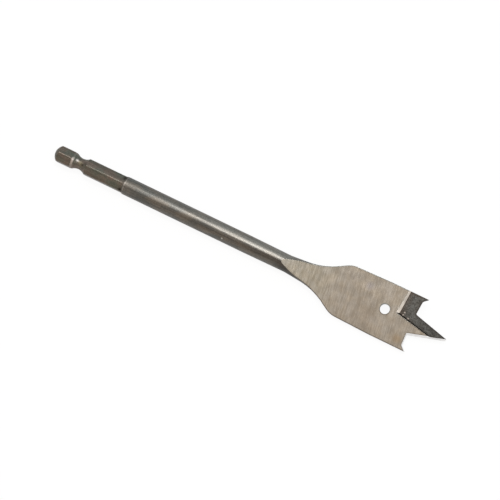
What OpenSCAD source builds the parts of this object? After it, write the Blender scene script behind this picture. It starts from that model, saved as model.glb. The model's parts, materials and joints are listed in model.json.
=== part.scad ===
// Spade drill bit: one piece of steel with a hex shank, a round shaft and a flat ground blade.
// The axis runs along X from the shank's domed end to the point. The bit lies at rest on its shaft
// and on one edge of the blade, so it is rolled about its axis by rest_roll.

/* [Shank] */
// Hex shank across its flats
hex_across_flats = 6.35; // [5.8:0.05:6.5]
// Diameter over the hex's blunt corners
hex_corner_diameter = 7.1; // [6.9:0.05:7.2]
// Angle from the blade's face to the nearest flat
hex_turn = 25; // [0:1:30]
// Length of the hex flats, from the shank's end
hex_length = 30.3; // [24:0.1:40]
// Length over which each flat climbs to the shaft
flat_runout = 0.7; // [0.4:0.1:2]
// Length over which the hex's corners climb to the shaft
corner_runout = 0.8; // [0.6:0.1:2]
// Radius of the domed end
end_radius = 4.2; // [4:0.1:8]
// Distance from the shank's end to the middle of the groove
groove_position = 11.15; // [9.5:0.05:16]
// Diameter at the bottom of the groove
groove_diameter = 4.6; // [4:0.1:5]
// Radius of the groove's section
groove_radius = 4.2; // [3:0.1:6]
// Distance from the middle of the groove to the slope that leads in from the shank's end
groove_lead = 2.5; // [1.5:0.1:2.8]
// Angle of that slope to the axis
groove_lead_angle = 20; // [15:1:25]

/* [Shaft] */
// Diameter of the round shaft
shaft_diameter = 7.25; // [7:0.05:8]
// Length of the round shaft, from the hex to the start of the ground neck
shaft_length = 69.2; // [40:0.1:120]
// Diameter of the waist where the neck starts to widen
waist_diameter = 6.95; // [6.6:0.05:7]
// Length of the tapered end of the shaft, up to the start of the ground neck
waist_length = 14.6; // [8:0.1:20]

/* [Neck and shoulders] */
// Angle of the ground ramp that runs down from the shaft to the blade's face
ramp_angle = 9.6; // [9:0.1:14]
// Radius that blends the ramp into the blade's face
ramp_radius = 100; // [40:5:120]
// Length of the neck, from the start of the ramp to the shoulder's corner
neck_length = 25.3; // [23:0.1:30]
// Length of round neck before it starts to widen
neck_lead = 2.3; // [1:0.1:4]
// Angle at which the neck widens on each side
neck_angle = 5; // [3:0.5:7]
// Angle of the shoulders to the axis
shoulder_angle = 30; // [28:1:40]
// Radius where the neck widens into a shoulder
shoulder_inner_radius = 27; // [15:0.5:27]
// Radius of the shoulder's outer corner
shoulder_outer_radius = 8.5; // [3:0.5:10]

/* [Blade] */
// Width of the blade, which is the size of the hole it drills
blade_width = 22; // [20:0.5:25]
// Thickness of the blade between its ground faces
blade_thickness = 2.5; // [2.3:0.1:3]
// Length of the blade, from the shoulder's corner to the lips
blade_length = 30; // [27:0.1:36]
// Length of the blade's tapered sides behind the parallel ones
taper_length = 16.3; // [14:0.1:18]
// Angle of the tapered sides to the axis
taper_angle = 1.7; // [1:0.1:2.5]
// Diameter of the hanging hole
hole_diameter = 3.9; // [3:0.1:5]
// Distance from the lips back to the middle of the hanging hole
hole_setback = 11.7; // [11:0.1:15]
// Distance of the hanging hole from the axis
hole_offset = 0.5; // [0:0.1:1]

/* [Lips and spurs] */
// Lean of the lips, which run forward towards the spurs
lip_lean = 3; // [1:0.5:8]
// Relief angle behind the lips
lip_relief = 10; // [5:1:14]
// Width of each outer spur
spur_width = 1.75; // [1.2:0.05:2.5]
// Angle of the spur's inner side to the axis
spur_angle = 43; // [35:1:55]
// Radius where each spur runs into its lip
spur_radius = 1.2; // [0.4:0.1:1.5]

/* [Centre point] */
// Length of the point in front of the lips
point_length = 14.4; // [12:0.1:18]
// Width of the point at the lips
point_width = 8.8; // [8:0.1:9.4]
// Width across the slanted edge at the point's tip
tip_width = 0.6; // [0.5:0.05:1]
// Angle of the relief ground along the point's sides
point_relief = 23; // [18:1:28]
// Radius at the point's root, where its sides run into the lips
root_radius = 0.8; // [0.3:0.1:1.2]
// Distance of the point's root from the axis, as ground
root_offset = 0.5; // [0:0.1:0.8]
// Distance of the point's tip from the axis, as ground
tip_offset = 0.15; // [0:0.05:0.3]

/* [Recess] */
// Distance from the lips back to the recess's inner corner
recess_setback = 7.2; // [6.4:0.1:7.6]
// Distance of the recess's inner corner from the axis
recess_corner = 1.2; // [0.8:0.1:1.6]
// Depth of the recess at its inner corner
recess_depth = 0.95; // [0.5:0.05:1]
// Lean of the recess's back wall
recess_back_lean = 5.5; // [2:0.5:8]
// Angle at which the recess's side wall runs across the axis towards the point
recess_side_angle = 11.3; // [8:0.1:12]
// Slope of the recess's back wall
back_wall_slope = 50; // [30:1:60]
// Slope of the recess's side wall
side_wall_slope = 35; // [20:1:50]
// Rake of the recess's floor, which climbs towards the point
floor_rake = 1.8; // [1:0.1:2.5]
// Climb of the recess's floor towards the blade's side
floor_climb = 2; // [0:0.1:3]

/* [Hidden] */
$fn = 96;

hex_sides = 6;
hex_corner_r = hex_corner_diameter / 2;
shaft_r = shaft_diameter / 2;
waist_r = waist_diameter / 2;
groove_r = groove_diameter / 2;
blade_r = blade_width / 2;
face_z = blade_thickness / 2;

// Places along the axis
shaft_start = hex_length + flat_runout / 2;
ramp_start = hex_length + shaft_length;
waist_start = ramp_start - waist_length;
shoulder_x = ramp_start + neck_length;
taper_end = shoulder_x + taper_length;
lip_x = shoulder_x + blade_length;
tip_x = lip_x + point_length;

// The half profile's corners: where the neck meets the shoulder, and the shoulder meets the blade's side
neck_start = ramp_start + neck_lead;
shoulder_r = blade_r - taper_length * tan(taper_angle);
shoulder_top = [shoulder_x, shoulder_r];
shoulder_foot_x = (waist_r - shoulder_r + shoulder_x * tan(shoulder_angle) - neck_start * tan(neck_angle))
    / (tan(shoulder_angle) - tan(neck_angle));
shoulder_foot = [shoulder_foot_x, waist_r + (shoulder_foot_x - neck_start) * tan(neck_angle)];

// The ramp's foot, in the side view
ramp_foot = [ramp_start + (waist_r - face_z) / tan(ramp_angle), face_z];

// The recess's inner corner, and the height of the cutting edges at the tip
corner_x = lip_x - recess_setback;
edge_z = tip_width / 2 / tan(point_relief);

// The roll at which the shaft and one blade edge touch the ground together
rest_roll = asin(shaft_r / blade_r) - asin(face_z / blade_r);

// Tools reach this far past the bit, and blends cross their lines by this much so that no edge is a sliver
reach = 40;
blend_grow = 1.0003;
blend_root = 0.5;

// The round at the point's root is set a little into the lip and off its plane, to meet it in a clear line
root_bite = 0.08;
root_skew = 0.8;

function heading(angle) = [cos(angle), sin(angle)];

// An arc that rounds a corner whose two sides leave it at these headings: its centre, and how far along
// each side it starts
function blend_centre(corner, angle_a, angle_b, radius) =
    corner + radius / sin(abs(angle_b - angle_a) / 2) * heading((angle_a + angle_b) / 2);
function blend_length(angle_a, angle_b, radius) = radius / tan(abs(angle_b - angle_a) / 2);

// The lip's normal, tilted by its relief
lip_normal = [cos(lip_lean) * cos(lip_relief), -sin(lip_lean), -cos(lip_lean) * sin(lip_relief)];

// One side of the point: its angle to the axis, and its normal and upright, tilted by its own relief
function side_angle(root, tip) = atan(((point_width - tip_width) / 2 + root - tip) / point_length);
function side_normal(angle) =
    [cos(point_relief) * sin(angle), cos(point_relief) * cos(angle), -sin(point_relief)];
function side_upright(angle) =
    [sin(point_relief) * sin(angle), sin(point_relief) * cos(angle), cos(point_relief)];

// The line shared by the lip and the point's side: its lean along that side, and where it passes the edges
function root_line(angle) = cross(lip_normal, side_normal(angle));
function root_lean(angle) =
    atan2(root_line(angle) * [cos(angle), -sin(angle), 0], root_line(angle) * side_upright(angle));
function root_corner(angle, tip) =
    let (
        side = side_normal(angle),
        lip_part = lip_normal * [lip_x, point_width / 2, 0],
        side_part = side * [tip_x, tip_width / 2 + tip, 0],
        spread = lip_normal[0] * side[1] - lip_normal[1] * side[0]
    )
    [
        (lip_part * side[1] - side_part * lip_normal[1]) / spread,
        (side_part * lip_normal[0] - lip_part * side[0]) / spread,
        edge_z
    ];

// The piece between a corner and the arc that rounds it
module corner_blend(corner, angle_a, angle_b, radius) {
    length = blend_length(angle_a, angle_b, radius);
    difference() {
        polygon([
            corner + length * heading(angle_a),
            corner - blend_root * heading((angle_a + angle_b) / 2),
            corner + length * heading(angle_b)
        ]);
        translate(blend_centre(corner, angle_a, angle_b, radius)) circle(radius * blend_grow);
    }
}

// Half profile of the stock, with X along the axis and Y the radius
module half_profile() {
    foot_length = blend_length(180 + neck_angle, shoulder_angle, shoulder_inner_radius);
    difference() {
        polygon([
            [0, 0],
            [0, hex_corner_r],
            [shaft_start - corner_runout, hex_corner_r],
            [shaft_start, shaft_r],
            [waist_start, shaft_r],
            [neck_start, waist_r],
            shoulder_foot + foot_length * heading(180 + neck_angle),
            shoulder_foot + foot_length * heading(shoulder_angle),
            shoulder_top,
            [taper_end, blade_r],
            [tip_x + reach, blade_r],
            [tip_x + reach, 0]
        ]);
        translate(blend_centre(shoulder_foot, 180 + neck_angle, shoulder_angle, shoulder_inner_radius))
            circle(shoulder_inner_radius * blend_grow);
        corner_blend(shoulder_top, 180 + shoulder_angle, 360 + taper_angle, shoulder_outer_radius);
        end_corner();
        groove();
    }
}

// What the domed end leaves off the bar
module end_corner() {
    difference() {
        translate([-reach, -reach]) square([reach + end_radius / 2, 2 * reach]);
        translate([end_radius, 0]) circle(end_radius);
    }
}

// The groove that a quick-change chuck locks into, with a slope leading in from the shank's end
module groove() {
    lead_x = groove_position - groove_lead;
    lead_r = groove_r + groove_radius - sqrt(groove_radius ^ 2 - groove_lead ^ 2);
    lead_run = (reach - lead_r) / tan(groove_lead_angle);
    translate([groove_position, groove_r + groove_radius]) circle(groove_radius);
    polygon([
        [groove_position, lead_r - groove_lead * tan(groove_lead_angle)],
        [lead_x - lead_run, reach],
        [groove_position, reach]
    ]);
}

module stock() {
    rotate([0, 90, 0]) rotate_extrude() mirror([1, -1]) half_profile();
}

// One side of the grinding: everything above the ramp and the blade's face
module face_grind() {
    start_x = ramp_start - reach;
    start_z = waist_r + reach * tan(ramp_angle);
    rotate([90, 0, 0]) linear_extrude(2 * reach, center = true) difference() {
        polygon([
            [start_x, start_z],
            ramp_foot,
            [tip_x + 2 * reach, face_z],
            [tip_x + 2 * reach, reach],
            [start_x, reach]
        ]);
        corner_blend(ramp_foot, 180 - ramp_angle, 0, ramp_radius);
    }
}

// What comes off one side of the bar to leave a flat of the hex
module hex_flat() {
    flat_z = hex_across_flats / 2;
    run = flat_runout * (reach - flat_z) / (shaft_r - flat_z);
    rotate([90, 0, 0]) linear_extrude(2 * reach, center = true) polygon([
        [-reach, flat_z],
        [hex_length, flat_z],
        [hex_length + run, reach],
        [-reach, reach]
    ]);
}

module hanging_hole() {
    translate([lip_x - hole_setback, hole_offset, 0]) cylinder(h = reach, d = hole_diameter, center = true);
}

// All that lies in front of one lip and its spur, with the relief behind the cutting edge
module past_lip() {
    root_y = point_width / 2;
    bend_y = blade_r - spur_width;
    bend = [(bend_y - root_y) * tan(lip_lean), bend_y];
    spur_run = reach * tan(90 - spur_angle);
    translate([lip_x, 0, edge_z]) rotate([0, lip_relief, 0]) linear_extrude(2 * reach, center = true)
        difference() {
            polygon([
                [-(reach + root_y) * tan(lip_lean), -reach],
                bend,
                bend + [spur_run, reach],
                [2 * reach + spur_run, reach],
                [2 * reach + spur_run, -reach]
            ]);
            corner_blend(bend, -90 - lip_lean, spur_angle, spur_radius);
        }
}

// All that lies outside one side of the point, with the relief along its edge and a round at its root
module past_point(root, tip) {
    angle = side_angle(root, tip);
    opening = 180 - acos(lip_normal * side_normal(angle));
    translate(root_corner(angle, tip)) rotate([0, 0, -angle]) rotate([-point_relief, 0, 0])
        rotate([0, root_lean(angle) + root_skew, 0]) linear_extrude(2 * reach, center = true) difference() {
            translate([-reach, 0]) square([3 * reach, reach]);
            corner_blend([-root_bite, 0], 0, opening, root_radius);
        }
}

module notch(root, tip) {
    intersection() {
        past_lip();
        past_point(root, tip);
    }
}

// The hollow ground in front of one lip: above its floor, ahead of its back wall and above its side wall
module recess() {
    top = [corner_x, recess_corner, face_z];
    foot = [
        recess_depth * tan(back_wall_slope),
        recess_depth * tan(side_wall_slope),
        -recess_depth
    ];
    intersection() {
        translate(top + foot) rotate([floor_climb, -floor_rake, 0])
            translate([-reach, -reach, 0]) cube([3 * reach, 3 * reach, reach]);
        translate(top) rotate([0, 0, -recess_back_lean]) rotate([0, -back_wall_slope, 0])
            translate([0, -reach, -reach]) cube([2 * reach, 3 * reach, 2 * reach]);
        translate(top) rotate([0, 0, -recess_side_angle]) rotate([side_wall_slope, 0, 0])
            translate([-reach, 0, -reach]) cube([3 * reach, 2 * reach, 2 * reach]);
    }
}

module spade_bit() {
    color("dimgray") rotate([rest_roll, 0, 0]) difference() {
        stock();
        for (side = [0, 180]) rotate([side, 0, 0]) face_grind();
        for (side = [0 : hex_sides - 1]) rotate([hex_turn + side * 360 / hex_sides, 0, 0]) hex_flat();
        hanging_hole();
        notch(-root_offset, -tip_offset);
        rotate([180, 0, 0]) notch(root_offset, tip_offset);
        for (side = [0, 180]) rotate([side, 0, 0]) recess();
    }
}

spade_bit();
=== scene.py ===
"""Spade drill bit: finish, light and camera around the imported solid, in metres."""

import json
import math

import bpy
from mathutils import Matrix, Vector


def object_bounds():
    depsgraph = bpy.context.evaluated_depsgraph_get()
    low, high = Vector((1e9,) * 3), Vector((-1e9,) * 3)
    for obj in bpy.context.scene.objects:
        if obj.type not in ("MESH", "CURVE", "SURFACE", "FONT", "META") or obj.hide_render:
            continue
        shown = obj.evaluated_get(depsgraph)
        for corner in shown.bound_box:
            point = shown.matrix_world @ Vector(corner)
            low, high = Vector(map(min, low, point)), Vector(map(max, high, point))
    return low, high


MM = 0.001

# The photograph's camera in the bit's own frame: X along the axis, Z out of the blade's face
IMAGE_PX = 500
FOCAL_PX = 1963.2
VIEW_TILT = math.radians(7.6)
VIEW_SIDE = math.radians(2.0)
PICTURE_TURN = math.radians(25.77)
VIEW_DISTANCE = 760 * MM
VIEW_TARGET = Vector((86.19, -1.56, 0.0)) * MM

# The soft boxes: where they hang from the middle of the bit, their sides, and how bright they are
OVERHEAD_PLACE = Vector((-0.1, 0.16, 0.95))
OVERHEAD_SIZE = (0.45, 0.28)
OVERHEAD_RADIANCE = 10.0
RIGHT_PLACE = 0.9 * Vector((0.53, 0, 0.85))
RIGHT_SIZE = (0.35, 0.35)
RIGHT_RADIANCE = 3.0

# The room: its colour before and behind the bit, and how bright it is at the horizon and overhead
WARM_ROOM = (1.0, 0.90, 0.80)
COOL_ROOM = (0.93, 0.99, 1.0)
HORIZON_LEVEL = 1.0
ZENITH_LEVEL = 0.85

# The table: half its side, its colour, and how much of it is seen as plain white
FLOOR_HALF = 3.0
FLOOR_COLOR = (0.85, 0.85, 0.85, 1)
FLOOR_WHITE = 0.92

# Lengths along the bit, in millimetres: the hole to the recess, the shaft's tapered end and the neck
HOLE_TO_RECESS = 4.5
TAPER_LENGTH = 14.6
NECK_LENGTH = 22

# How squarely a face looks up or across before it counts as flat, as a recess's side or as the blade's side
FLAT_UP = 0.95
RECESS_SIDE_ACROSS = 0.7
RECESS_SIDE_UP = 0.45
BLADE_SIDE_ACROSS = 0.98
RAMP_FORWARD = 0.03
FACE_TOLERANCE = 0.01

# How far a rounded normal turns where an edge starts to show, and where it shows in full
EDGE_FAINT = 0.995
EDGE_FULL = 0.93

# How the steel's faces are finished, in the order of the node's material slots
DARK, GROUND, RECESS, CUT = range(4)

# Colours of the dark steel, with its painted highlights and painted shade
HEX_OLIVE = (0.102, 0.106, 0.088)
HEX_BROWN = (0.143, 0.113, 0.094)
SHAFT_COOL = (0.100, 0.099, 0.093)
SHAFT_WARM = (0.142, 0.126, 0.108)
# painted highlight on the shaft's upper side
SHAFT_HIGHLIGHT_PAINT = (0.285, 0.268, 0.243)
# painted shade on the shaft's lower side
SHAFT_SHADE_PAINT = (0.062, 0.052, 0.046)
# painted highlight: a light band at the shaft's start
SHAFT_RIM_HIGHLIGHT = (0.36, 0.33, 0.30)
# painted shade on the neck's sides
NECK_SHADE_PAINT = (0.040, 0.035, 0.031)
NICK_BRIGHT = (0.60, 0.58, 0.54)
# painted highlight on the groove's slope
SLOPE_HIGHLIGHT_PAINT = (0.45, 0.40, 0.37)
# painted highlight: a bright spot on the groove's slope
SLOPE_SPOT_HIGHLIGHT_PAINT = (0.50, 0.46, 0.44)
GROOVE_TAN = (0.172, 0.150, 0.104)
GROOVE_DARK = (0.045, 0.040, 0.030)
# painted shade in the corners where the flats run out at the shaft
CORNER_SHADE_PAINT = (0.026, 0.022, 0.018)
# edge wear and painted highlight along the edges, such as the hex's ridges
WORN_EDGE_AND_SHEEN = (0.30, 0.28, 0.25)

# Colours of the ground faces, with painted sheen and shade on the ramp and the edges
BLADE_DEEP = (0.318, 0.277, 0.229)
BLADE_PALE = (0.406, 0.361, 0.307)
NECK_DEEP = (0.320, 0.288, 0.234)
NECK_PALE = (0.452, 0.413, 0.352)
# painted sheen on the ramp
RAMP_SHEEN_PAINT = (0.54, 0.51, 0.46)
WARM_TINT = (1.015, 1.0, 0.975)
COOL_TINT = (0.985, 1.0, 1.025)
STAIN_BROWN = (0.33, 0.22, 0.11)
DULL_BROWN = (0.27, 0.22, 0.175)
HEAT_BLUE = (0.27, 0.26, 0.30)
# painted shade along the lower edges
LOWER_EDGE_SHADE = (0.110, 0.090, 0.072)
# painted sheen along the upper edges
UPPER_EDGE_SHEEN = (0.200, 0.210, 0.200)

# Colours of the recesses and of the narrow cut faces, with painted shade and painted reflection
# recess floor: dark with heat scale, and partly painted shade
RECESS_DEEP = (0.068, 0.065, 0.059)
RECESS_PALE = (0.086, 0.085, 0.080)
RECESS_BROWN = (0.070, 0.052, 0.040)
# painted shade along the recesses' edges
BORDER_SHADE_BROWN = (0.062, 0.046, 0.035)
BORDER_SHADE_GREY = (0.054, 0.052, 0.048)
# painted shade in the recesses' creases and along their edges
RECESS_CREASE_SHADE = (0.042, 0.035, 0.030)
SPECK_BRIGHT = (0.46, 0.40, 0.35)
# back walls and point: near-white, partly as painted reflection
WALL_DEEP = (0.70, 0.64, 0.58)
WALL_PALE = (0.84, 0.79, 0.74)
POINT_DEEP = (0.72, 0.71, 0.70)
POINT_PALE = (0.84, 0.83, 0.82)

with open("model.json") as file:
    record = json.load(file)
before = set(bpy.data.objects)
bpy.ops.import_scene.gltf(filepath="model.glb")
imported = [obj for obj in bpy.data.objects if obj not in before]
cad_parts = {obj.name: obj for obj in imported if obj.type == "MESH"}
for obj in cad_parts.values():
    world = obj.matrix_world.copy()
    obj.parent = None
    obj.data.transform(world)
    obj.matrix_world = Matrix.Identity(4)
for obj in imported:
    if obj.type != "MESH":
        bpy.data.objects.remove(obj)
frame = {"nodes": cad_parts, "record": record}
cad_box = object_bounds()
bit = frame["nodes"]["spade_bit"]


def mount(name):
    return next(m for m in frame["record"]["mounts"] if m["name"] == name)


hole, shaft = mount("hanging_hole"), mount("shaft")
rest_roll = math.atan2(-hole["axis"][1], hole["axis"][2])
to_row = Matrix.Rotation(rest_roll, 3, "X")
to_bit = to_row.transposed()

# Places in the bit's own frame, in millimetres
hole_at = to_bit @ Vector(hole["pos_m"]) / MM
face_z = hole["dims"]["length_mm"] / 2
shaft_middle = shaft["pos_m"][0] / MM
shaft_start = shaft_middle - shaft["dims"]["length_mm"] / 2
shaft_end = shaft_middle + shaft["dims"]["length_mm"] / 2
recess_x = hole_at.x + HOLE_TO_RECESS
ramp_x = shaft_end + TAPER_LENGTH
neck_end = ramp_x + NECK_LENGTH

# Marks and painted light on the bit, in millimetres: where each lies, and how far it spreads
NICK = ((74.7, -2.3, 2.7), 0.5)
# painted highlight on the groove's slope
SLOPE_HIGHLIGHT_SPOT = ((9.8, 0.65, 2.6), 0.9)
GROOVE_FLOOR = ((11.4, 0.0, 2.3), 1.5)
GROOVE_SHADE = ((12.4, -0.3, 2.7), 0.9)
# painted shade in the corners where the flats run out at the shaft
CORNER_SHADE_MARKS = [((shaft_start - 0.5, y, 2.3), 1.6) for y in (-2.5, 2.5)]
STAIN = ((152.0, -7.7, face_z), 3)
DULL_PATCH = ((137, -7, face_z), 11)
BLUE_PATCH = ((134.3, 6, face_z), 2.5)
SPECKS = [((x, y, 0.38), r) for x, y, r in ((150.5, 2.6, 0.42), (150.3, 1.5, 0.52), (152.65, 1.0, 0.55))]


class Graph:
    """Adds nodes to one material or world; an input may be a value or another node's output."""

    def __init__(self, tree):
        self.nodes, self.links = tree.nodes, tree.links
        self.nodes.clear()

    def add(self, kind, inputs=(), output=0, **settings):
        node = self.nodes.new("ShaderNode" + kind)
        for key, value in settings.items():
            setattr(node, key, value)
        for key, value in dict(inputs).items():
            if isinstance(value, bpy.types.NodeSocket):
                self.links.new(value, node.inputs[key])
            else:
                node.inputs[key].default_value = value
        return node.outputs[output] if node.outputs else node

    def math(self, operation, a, b=0.0):
        return self.add("Math", {0: a, 1: b}, operation=operation)

    def both(self, a, b):
        """The product of two shares."""
        return self.math("MULTIPLY", a, b)

    def spread(self, value, low, high, start=0.0, end=1.0):
        """Start up to the low value, end from the high one, and a smooth way between."""
        levels = {"Value": value, "From Min": low, "From Max": high, "To Min": start, "To Max": end}
        return self.add("MapRange", levels, interpolation_type="SMOOTHSTEP")

    def vary(self, noise, start=0.0, end=1.0, span=0.15):
        """Start where the noise is low, end where it is high, over a span about its middle."""
        return self.spread(noise, 0.5 - span, 0.5 + span, start, end)

    def blend(self, share, a, b, how="MIX"):
        node = self.add("Mix", {0: share}, data_type="RGBA", blend_type=how).node
        for socket, value in ((node.inputs[6], a), (node.inputs[7], b)):
            if isinstance(value, bpy.types.NodeSocket):
                self.links.new(value, socket)
            else:
                socket.default_value = (*value, 1)
        return node.outputs[2]

    def noise(self, place, grain, detail=3.0, roughness=0.6):
        """Noise with a grain of so many millimetres along each axis."""
        scaled = self.add("Mapping", {"Vector": place, "Scale": [1 / size for size in grain]})
        levels = {"Vector": scaled, "Scale": 1.0, "Detail": detail, "Roughness": roughness}
        return self.add("TexNoise", levels)

    def shaded(self, color, level):
        """A colour made lighter or darker by a level about one."""
        return self.blend(1.0, color, self.add("CombineColor", {0: level, 1: level, 2: level}), "MULTIPLY")

    def patch(self, place, centre, radius):
        """One at the centre, and nothing from the radius on."""
        away = self.add("VectorMath", {0: place, 1: centre}, output=1, operation="DISTANCE")
        return self.spread(away, 0.0, radius, 1.0, 0.0)


def new_material(name):
    """A material's graph, with where a point lies in the bit's own frame, in millimetres."""
    material = bpy.data.materials.new(name)
    material.use_nodes = True
    graph = Graph(material.node_tree)
    row_place = graph.add("TexCoord", output=3)
    turn = {"Vector": row_place, "Rotation": (-rest_roll, 0, 0), "Scale": [1 / MM] * 3}
    return material, graph, graph.add("Mapping", turn)


def edge_share(graph, width):
    """One on an edge, and nothing from a width in millimetres on."""
    turned = graph.add("Bevel", {"Radius": 2 * width * MM}, samples=8)
    flat = graph.add("NewGeometry", output=1)
    same = graph.add("VectorMath", {0: turned, 1: flat}, output=1, operation="DOT_PRODUCT")
    return graph.spread(same, EDGE_FAINT, EDGE_FULL)


def finish_steel(graph, color, roughness, height, relief, rounding):
    """Closes a material as bare metal, with bumps and rounded edges of so many millimetres."""
    normal = graph.add("Bevel", {"Radius": rounding * MM}, samples=4)
    bump = graph.add("Bump", {"Strength": 1.0, "Distance": relief * MM, "Height": height, "Normal": normal})
    levels = {"Base Color": color, "Metallic": 1.0, "Roughness": roughness, "Normal": bump}
    shader = graph.add("BsdfPrincipled", levels)
    graph.add("OutputMaterial", {"Surface": shader})


def dark_steel():
    """Tumbled bar stock: olive-brown hex, and a greyer shaft that is smoother towards the blade."""
    material, graph, place = new_material("dark_steel")
    along, across, _ = graph.add("SeparateXYZ", {0: place}).node.outputs
    clouds = graph.noise(place, (7, 3, 3), 4)
    pits = graph.noise(place, (0.7, 0.5, 0.5), 2)
    streaks = graph.noise(place, (15, 0.5, 0.5), 3)
    cloudy = graph.vary(clouds)
    hex_color = graph.blend(cloudy, HEX_OLIVE, HEX_BROWN)
    shaft_color = graph.blend(cloudy, SHAFT_COOL, SHAFT_WARM)
    on_shaft = graph.spread(along, shaft_start - 0.5, shaft_start + 0.5)
    color = graph.blend(on_shaft, hex_color, shaft_color)
    color = add_shaft_painted_light(graph, along, across, color)
    color = add_neck_painted_shade(graph, along, across, color)
    color = graph.blend(graph.patch(place, *NICK), color, NICK_BRIGHT)
    color = add_hex_painted_light(graph, place, along, across, color)
    color = graph.shaded(color, graph.vary(pits, 0.88, 1.12))
    color = graph.shaded(color, graph.vary(streaks, 0.84, 1.16))
    # edge wear and painted highlight along the edges, such as the hex's ridges
    worn_and_sheen = graph.both(edge_share(graph, 0.2), 0.3)
    color = graph.blend(worn_and_sheen, color, WORN_EDGE_AND_SHEEN)
    roughness = graph.spread(along, shaft_start, shaft_end, 0.44, 0.42)
    finish_steel(graph, color, roughness, streaks, relief=0.003, rounding=0.2)
    return material


def add_shaft_painted_light(graph, along, across, color):
    """Painted highlight and shade: the shaft's upper side is painted lighter where the lamp's highlight
    runs, and its lower side darker, more so near the blade.
    """
    # painted highlight along the shaft's upper side, growing towards the blade
    from_hex = graph.spread(along, shaft_start - 10, ramp_x)
    before_neck = graph.spread(along, neck_end - 8, ramp_x, 0.1, 1.0)
    upper_side = graph.spread(across, -0.4, 0.6, 0.0, 0.74)
    below_rim = graph.spread(across, 3.4, 1.2, 0.35, 1.0)
    painted_highlight = graph.both(graph.both(from_hex, before_neck), graph.both(upper_side, below_rim))
    color = graph.blend(painted_highlight, color, SHAFT_HIGHLIGHT_PAINT)
    # painted shade along the shaft's lower side, near the blade
    near_blade = graph.spread(along, shaft_middle - 6, ramp_x)
    lower_side = graph.spread(across, 0.2, -0.6)
    above_rim = graph.spread(across, -2.6, -1.0, 0.0, 0.55)
    painted_shade = graph.both(near_blade, graph.both(lower_side, above_rim))
    return graph.blend(painted_shade, color, SHAFT_SHADE_PAINT)


def add_neck_painted_shade(graph, along, across, color):
    """Painted shade: the neck's sides are painted darker beside the ramp, and from the ramp's start on its
    lower side.
    """
    lower_side = graph.both(graph.spread(across, -0.2, -1.2), graph.spread(along, ramp_x - 3, ramp_x + 2))
    both_sides = graph.spread(along, ramp_x + 4, ramp_x + 10)
    up_to_shoulder = graph.spread(along, neck_end + 6, neck_end - 2, 0.0, 0.6)
    # painted shade on the neck's sides
    neck_shade = graph.both(graph.math("MAXIMUM", both_sides, lower_side), up_to_shoulder)
    return graph.blend(neck_shade, color, NECK_SHADE_PAINT)


def add_hex_painted_light(graph, place, along, across, color):
    """Painted highlights on the groove's slope and at the shaft's start, a tan patch on the groove's floor,
    and painted shade in the groove's corner at the hex's shoulder and in the corners by the shaft.
    """
    # painted highlight where the groove's slope faces the light
    on_slope = graph.both(graph.spread(along, 7.5, 7.8), graph.spread(along, 8.7, 8.3))
    upper_fade = graph.spread(across, 1.8, -0.4, 0.1, 0.9)
    lower_fade = graph.spread(across, -2.8, -0.6, 0.3, 1.0)
    painted_highlight = graph.both(graph.both(on_slope, upper_fade), lower_fade)
    color = graph.blend(painted_highlight, color, SLOPE_HIGHLIGHT_PAINT)
    color = graph.blend(graph.patch(place, *SLOPE_HIGHLIGHT_SPOT), color, SLOPE_SPOT_HIGHLIGHT_PAINT)
    color = graph.blend(graph.patch(place, *GROOVE_FLOOR), color, GROOVE_TAN)
    color = graph.blend(graph.patch(place, *GROOVE_SHADE), color, GROOVE_DARK)
    # painted highlight: a light band round the shaft's start, where its edge catches the light
    rim_start = graph.spread(along, shaft_start, shaft_start + 0.3)
    rim_end = graph.spread(along, shaft_start + 0.8, shaft_start + 0.4)
    rim_highlight = graph.both(graph.both(rim_start, rim_end), 0.4)
    color = graph.blend(rim_highlight, color, SHAFT_RIM_HIGHLIGHT)
    # painted shade in the corners where the flats run out at the shaft
    for mark in CORNER_SHADE_MARKS:
        color = graph.blend(graph.patch(place, *mark), color, CORNER_SHADE_PAINT)
    return color


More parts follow.
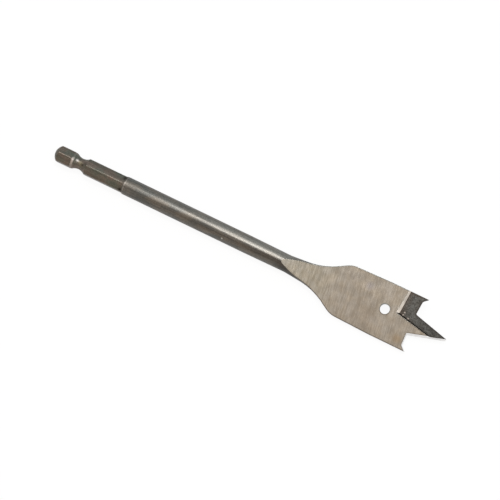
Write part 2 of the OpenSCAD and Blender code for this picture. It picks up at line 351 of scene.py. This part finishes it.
def ground_steel():
    """Surface-ground faces: fine lines across the blade, stronger on the neck where the wheel ran out, with
    painted sheen on the ramp and painted sheen and shade along the edges.
    """
    material, graph, place = new_material("ground_steel")
    along, across, _ = graph.add("SeparateXYZ", {0: place}).node.outputs
    slant = graph.add("Mapping", {"Vector": place, "Rotation": (0, 0, math.radians(-9))})
    fine = graph.noise(slant, (0.45, 5, 5), 2)
    broad = graph.noise(slant, (1.2, 25, 25), 2)
    mottle = graph.noise(place, (3, 3, 3), 3)
    tints = graph.noise(place, (4, 4, 4), 2)
    lines = graph.math("ADD", graph.both(fine, 0.8), graph.both(broad, 0.2))
    shade = graph.vary(lines)
    blade = graph.blend(shade, BLADE_DEEP, BLADE_PALE)
    neck = graph.blend(shade, NECK_DEEP, NECK_PALE)
    on_neck = graph.spread(along, neck_end + 4, neck_end - 8)
    color = graph.blend(on_neck, blade, neck)
    # painted sheen, paler towards the ramp's start
    on_ramp = graph.spread(along, ramp_x + 6, ramp_x, 0.0, 0.5)
    color = graph.blend(on_ramp, color, RAMP_SHEEN_PAINT)
    color = graph.shaded(color, graph.vary(mottle, 0.95, 1.04, span=0.2))
    tint = graph.blend(graph.vary(tints), WARM_TINT, COOL_TINT)
    color = graph.blend(1.0, color, tint, "MULTIPLY")
    color = graph.blend(graph.both(graph.patch(place, *STAIN), mottle), color, STAIN_BROWN)
    color = graph.blend(graph.both(graph.patch(place, *DULL_PATCH), 0.3), color, DULL_BROWN)
    color = graph.blend(graph.both(graph.patch(place, *BLUE_PATCH), 0.4), color, HEAT_BLUE)
    # edge lines: painted shade on the lower side, painted sheen on the upper side
    edge_sheen_and_shade = graph.blend(graph.spread(across, -1.0, 1.0), LOWER_EDGE_SHADE, UPPER_EDGE_SHEEN)
    color = graph.blend(graph.both(edge_share(graph, 0.45), 0.85), color, edge_sheen_and_shade)
    roughness = graph.vary(mottle, 0.18, 0.22, span=0.2)
    finish_steel(graph, color, roughness, lines, relief=0.002, rounding=0.15)
    return material


def recess_steel():
    """The hollows in front of the lips: dark with scale from the wheel's heat and partly as painted shade,
    with a few bright specks and painted shade along their edges and creases.
    """
    material, graph, place = new_material("recess_steel")
    along = graph.add("SeparateXYZ", {0: place})
    clouds = graph.noise(place, (2, 2, 2), 4)
    grain = graph.noise(place, (0.5, 0.5, 0.5), 2)
    color = graph.blend(graph.vary(clouds), RECESS_DEEP, RECESS_PALE)
    near_wall = graph.spread(along, recess_x + 5, recess_x, 0.0, 0.7)
    color = graph.blend(near_wall, color, RECESS_BROWN)
    color = graph.shaded(color, graph.spread(along, recess_x + 7, recess_x + 12, 1.0, 0.82))
    color = graph.shaded(color, graph.vary(grain, 0.6, 1.4, span=0.2))
    near_point = graph.spread(along, recess_x + 4, recess_x + 9)
    # painted shade along the recesses' edges
    border_shade = graph.blend(near_point, BORDER_SHADE_BROWN, BORDER_SHADE_GREY)
    color = graph.blend(graph.both(edge_share(graph, 1.0), 0.7), color, border_shade)
    for speck in SPECKS:
        color = graph.blend(graph.patch(place, *speck), color, SPECK_BRIGHT)
    # painted shade: dark lines in the recesses' creases and along their edges
    color = graph.blend(graph.both(edge_share(graph, 0.4), 0.8), color, RECESS_CREASE_SHADE)
    roughness = graph.vary(clouds, 0.36, 0.46, span=0.2)
    finish_steel(graph, color, roughness, grain, relief=0.006, rounding=0.1)
    return material


def cut_steel():
    """Freshly ground narrow faces: lips, spurs, the point's sides and the recesses' back walls, pale from
    the fresh grinding and paler still as painted reflection.
    """
    material, graph, place = new_material("cut_steel")
    along, across, _ = graph.add("SeparateXYZ", {0: place}).node.outputs
    lines = graph.noise(place, (0.3, 0.3, 4), 3)
    clouds = graph.noise(place, (3, 3, 3), 3)
    shade = graph.vary(lines)
    from_axis = graph.math("ABSOLUTE", across)
    # pale from fresh grinding and partly as painted reflection
    wall = graph.blend(shade, WALL_DEEP, WALL_PALE)
    wall = graph.shaded(wall, graph.spread(from_axis, 3, 7, 1.1, 0.9))
    point = graph.blend(shade, POINT_DEEP, POINT_PALE)
    on_point = graph.spread(along, recess_x + 4, recess_x + 6)
    color = graph.blend(on_point, wall, point)
    color = graph.shaded(color, graph.spread(clouds, 0.4, 0.75, 1.0, 0.85))
    roughness = graph.vary(clouds, 0.28, 0.4, span=0.2)
    finish_steel(graph, color, roughness, lines, relief=0.004, rounding=0.08)
    return material


def region(face):
    """Which finish a face of the solid has, told from where it lies and which way it looks."""
    at = to_bit @ face.center / MM
    way = to_bit @ face.normal
    flat = abs(way.z) > FLAT_UP
    on_face = abs(abs(at.z) - face_z) < FACE_TOLERANCE
    on_ramp = ramp_x - 1 < at.x < recess_x and (way.x > RAMP_FORWARD or at.x > ramp_x + 3)
    if flat and (on_face or on_ramp):
        return GROUND
    if at.x < recess_x:
        return DARK
    side_wall = abs(way.y) > RECESS_SIDE_ACROSS and abs(way.z) > RECESS_SIDE_UP
    if flat or side_wall:
        return RECESS
    if abs(way.y) > BLADE_SIDE_ACROSS:
        return DARK
    return CUT


def place_camera():
    back = Vector((
        math.sin(VIEW_TILT),
        -math.sin(VIEW_SIDE) * math.cos(VIEW_TILT),
        math.cos(VIEW_SIDE) * math.cos(VIEW_TILT),
    ))
    level = (Vector((1, 0, 0)) - back * back.x).normalized()
    rise = back.cross(level)
    right = math.cos(PICTURE_TURN) * level + math.sin(PICTURE_TURN) * rise
    up = back.cross(right)
    data = bpy.data.cameras.new("camera")
    data.lens = data.sensor_width * FOCAL_PX / IMAGE_PX
    camera = bpy.data.objects.new("camera", data)
    bpy.context.scene.collection.objects.link(camera)
    turn = Matrix((to_row @ right, to_row @ up, to_row @ back)).transposed()
    place = to_row @ (VIEW_TARGET + VIEW_DISTANCE * back)
    camera.matrix_world = Matrix.Translation(place) @ turn.to_4x4()
    bpy.context.scene.camera = camera


def add_floor(z):
    """A pale table that shows as white and still takes the bit's shadow."""
    mesh = bpy.data.meshes.new("floor")
    corners = [(x * FLOOR_HALF, y * FLOOR_HALF, z) for x, y in ((-1, -1), (1, -1), (1, 1), (-1, 1))]
    mesh.from_pydata(corners, [], [(0, 1, 2, 3)])
    floor = bpy.data.objects.new("floor", mesh)
    bpy.context.scene.collection.objects.link(floor)
    material = bpy.data.materials.new("floor")
    material.use_nodes = True
    graph = Graph(material.node_tree)
    rays = graph.add("LightPath").node.outputs
    seen = graph.math("MAXIMUM", rays["Is Camera Ray"], rays["Is Glossy Ray"])
    seen = graph.math("MAXIMUM", seen, rays["Is Transmission Ray"])
    paper = graph.add("BsdfDiffuse", {"Color": FLOOR_COLOR})
    glow = graph.add("Emission")
    surface = graph.add("MixShader", {0: graph.both(seen, FLOOR_WHITE), 1: paper, 2: glow})
    graph.add("OutputMaterial", {"Surface": surface})
    mesh.materials.append(material)


def light_world():
    """A pale room: white at the horizon, dimmer overhead, cooler behind the bit than before it."""
    world = bpy.data.worlds.new("studio")
    bpy.context.scene.world = world
    world.use_nodes = True
    graph = Graph(world.node_tree)
    way = graph.add("TexCoord")
    _, behind, up = graph.add("SeparateXYZ", {0: way}).node.outputs
    tint = graph.blend(graph.spread(behind, -0.7, 0.7), WARM_ROOM, COOL_ROOM)
    level = graph.spread(up, 0.0, 0.7, HORIZON_LEVEL, ZENITH_LEVEL)
    sky = graph.add("Background", {"Color": tint, "Strength": level})
    graph.add("OutputWorld", {"Surface": sky})


def add_lamp(name, place, aim, size, radiance):
    """A soft box with its first side along X, as bright as a white wall times the radiance."""
    data = bpy.data.lights.new(name, "AREA")
    data.shape = "RECTANGLE"
    data.size, data.size_y = size
    data.energy = radiance * math.pi * size[0] * size[1]
    lamp = bpy.data.objects.new(name, data)
    bpy.context.scene.collection.objects.link(lamp)
    back = (place - aim).normalized()
    side = Vector((0, 1, 0)).cross(back).normalized()
    turn = Matrix((side, back.cross(side), back)).transposed()
    lamp.matrix_world = Matrix.Translation(place) @ turn.to_4x4()


def add_lamps():
    middle = (cad_box[0] + cad_box[1]) / 2
    above = middle + OVERHEAD_PLACE
    add_lamp("overhead", above, above - Vector((0, 0, 1)), OVERHEAD_SIZE, OVERHEAD_RADIANCE)
    add_lamp("right", middle + RIGHT_PLACE, middle, RIGHT_SIZE, RIGHT_RADIANCE)


def finish_bit():
    bit.data.materials.clear()
    for finish in (dark_steel, ground_steel, recess_steel, cut_steel):
        bit.data.materials.append(finish())
    for face in bit.data.polygons:
        face.material_index = region(face)


bpy.context.scene.view_settings.view_transform = "Standard"
place_camera()
add_floor(cad_box[0].z)
light_world()
add_lamps()
finish_bit()
